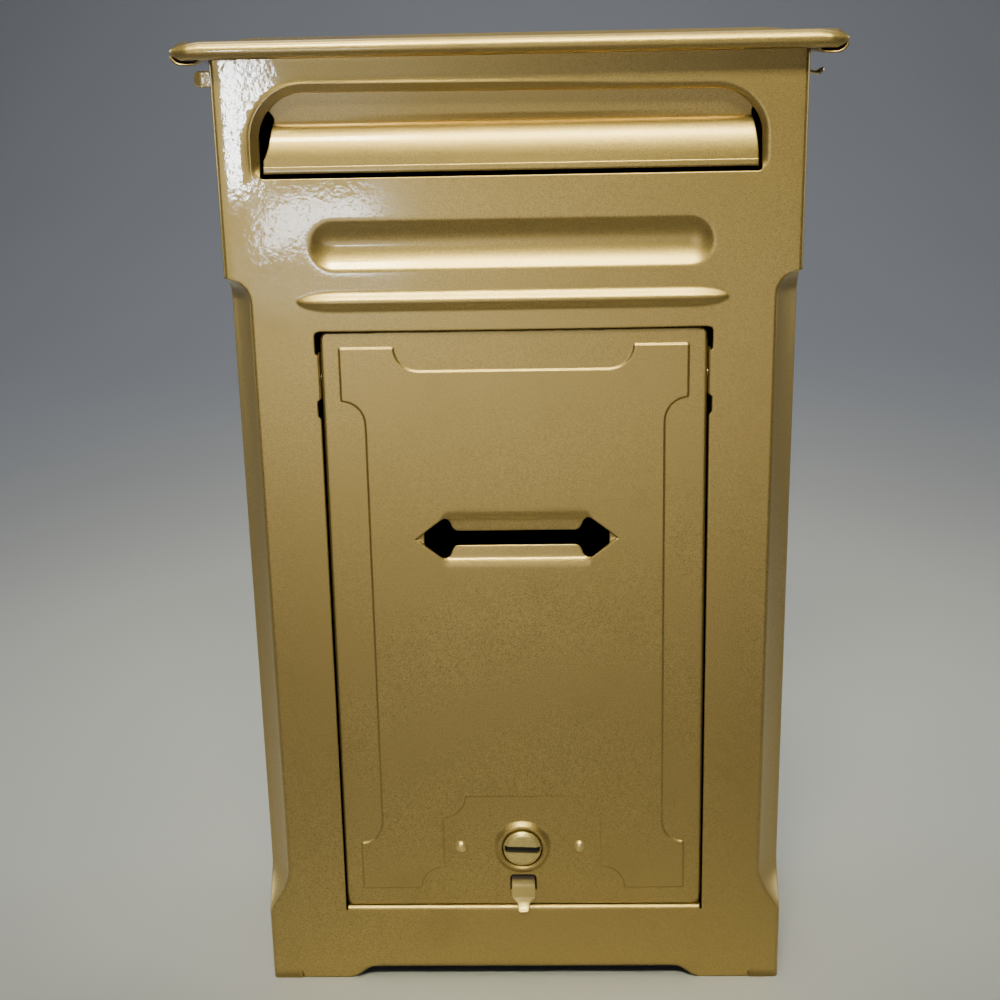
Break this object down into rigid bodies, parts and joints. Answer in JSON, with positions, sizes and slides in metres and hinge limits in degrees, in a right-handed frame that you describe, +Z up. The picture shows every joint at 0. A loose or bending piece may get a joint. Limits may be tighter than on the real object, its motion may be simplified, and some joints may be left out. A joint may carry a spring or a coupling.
{
  "type": "wall letter box",
  "caption": "Pressed-steel wall letter box with overhanging roof, hinged slot flap, top-pivoted collection door with viewing slot, coin-slot cam lock and stopped corner chamfers.",
  "frame": {"origin": "middle of the outer box in X and Y, on the plane of the feet", "axes": "+Z up, front of the box towards -Y, +X to the right of someone facing the front"},
  "size_m": [0.2562, 0.1116, 0.4072],
  "materials": {
    "paint": "glossy metallic gold enamel with fine flake",
    "steel": "zinc-plated"
  },
  "bodies": {
    "shell": {"body_front": "paint", "body_side_left": "paint", "body_side_right": "paint", "back_panel": "paint", "floor_pan": "paint", "roof_sheet": "paint", "roof_cleat_left": "paint", "roof_cleat_right": "paint", "back_rivets": "steel", "hinge_lug_left": "paint", "hinge_lug_right": "paint", "hinge_pin_left": "steel", "hinge_pin_right": "steel"},
    "flap": {"flap_panel": "paint"},
    "door": {"door_panel": "paint", "pull_plate": "paint", "lock_plate": "steel", "lock_rivets": "paint"},
    "lock": {"lock_barrel": "paint", "cam_washer": "steel", "lock_cam": "steel", "cam_screw": "steel"}
  },
  "joints": [
    {"name": "flap_hinge", "type": "hinge", "parent": "shell", "child": "flap", "pos_m": [0, -0.03745, 0.392], "axis": [1, 0, 0], "range_deg": [-20, 55]},
    {"name": "door_hinge", "type": "hinge", "parent": "shell", "child": "door", "pos_m": [0, -0.03625, 0.273], "axis": [-1, 0, 0], "range_deg": [0, 80]},
    {"name": "lock_turn", "type": "hinge", "parent": "door", "child": "lock", "pos_m": [0, -0.03625, 0.064], "axis": [0, 1, 0], "range_deg": [0, 90]}
  ]
}
